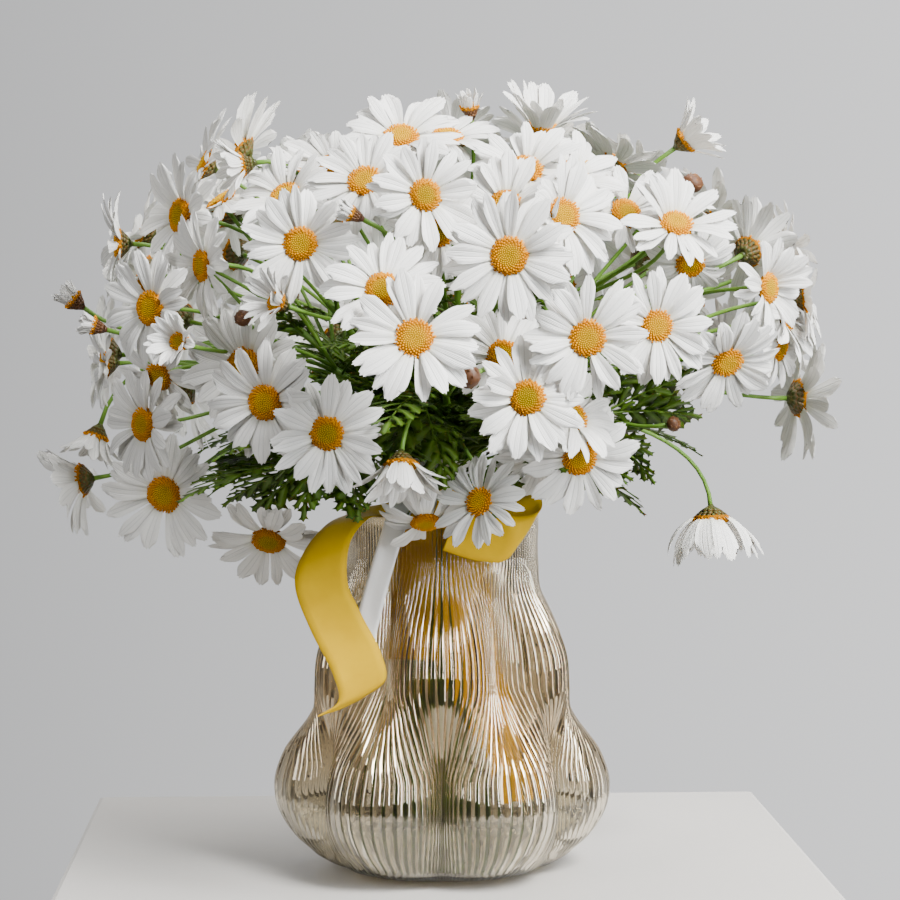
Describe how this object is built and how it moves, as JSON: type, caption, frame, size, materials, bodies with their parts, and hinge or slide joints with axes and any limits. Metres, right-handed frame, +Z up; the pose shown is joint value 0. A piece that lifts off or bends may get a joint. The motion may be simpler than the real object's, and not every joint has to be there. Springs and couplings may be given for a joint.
{
  "type": "bunch of daisies in a vase",
  "caption": "Full domed bunch of white daisies with cut leaves, standing in a ribbed, lobed glass vase of water and tied with satin ribbons.",
  "frame": {"origin": "middle of the vase's foot, on the surface it stands on", "axes": "+Z up, -Y the front that the picture shows, +X to its right"},
  "size_m": [0.3962, 0.3453, 0.3901],
  "materials": {
    "glass": "gloss",
    "water": "gloss",
    "petals": "matte",
    "discs": "matte",
    "leaves": "satin",
    "calyx": "matte",
    "yellow_satin": "satin",
    "white_satin": "satin"
  },
  "bodies": {
    "root": {"flower_stem_01": "petals", "flower_stem_02": "petals", "flower_stem_03": "petals", "flower_stem_04": "petals", "flower_stem_05": "petals", "flower_stem_06": "petals", "flower_stem_07": "petals", "flower_stem_08": "petals", "flower_stem_09": "petals", "flower_stem_10": "petals", "flower_stem_11": "petals", "flower_stem_12": "petals", "flower_stem_13": "petals", "flower_stem_14": "petals", "flower_stem_15": "petals", "flower_stem_16": "petals", "flower_stem_17": "petals", "flower_stem_18": "petals", "flower_stem_19": "petals", "flower_stem_20": "petals", "flower_stem_21": "petals", "flower_stem_22": "petals", "flower_stem_23": "petals", "flower_stem_24": "petals", "flower_stem_25": "petals", "flower_stem_26": "petals", "flower_stem_27": "petals", "flower_stem_28": "petals", "leafy_stem_01": "leaves", "leafy_stem_02": "leaves", "leafy_stem_03": "leaves", "leafy_stem_04": "leaves", "leafy_stem_05": "leaves", "leafy_stem_06": "leaves", "leafy_stem_07": "leaves", "leafy_stem_08": "leaves", "vase": "glass", "water": "water", "white_ribbon": "white_satin", "yellow_ribbon": "yellow_satin"}
  },
  "joints": []
}
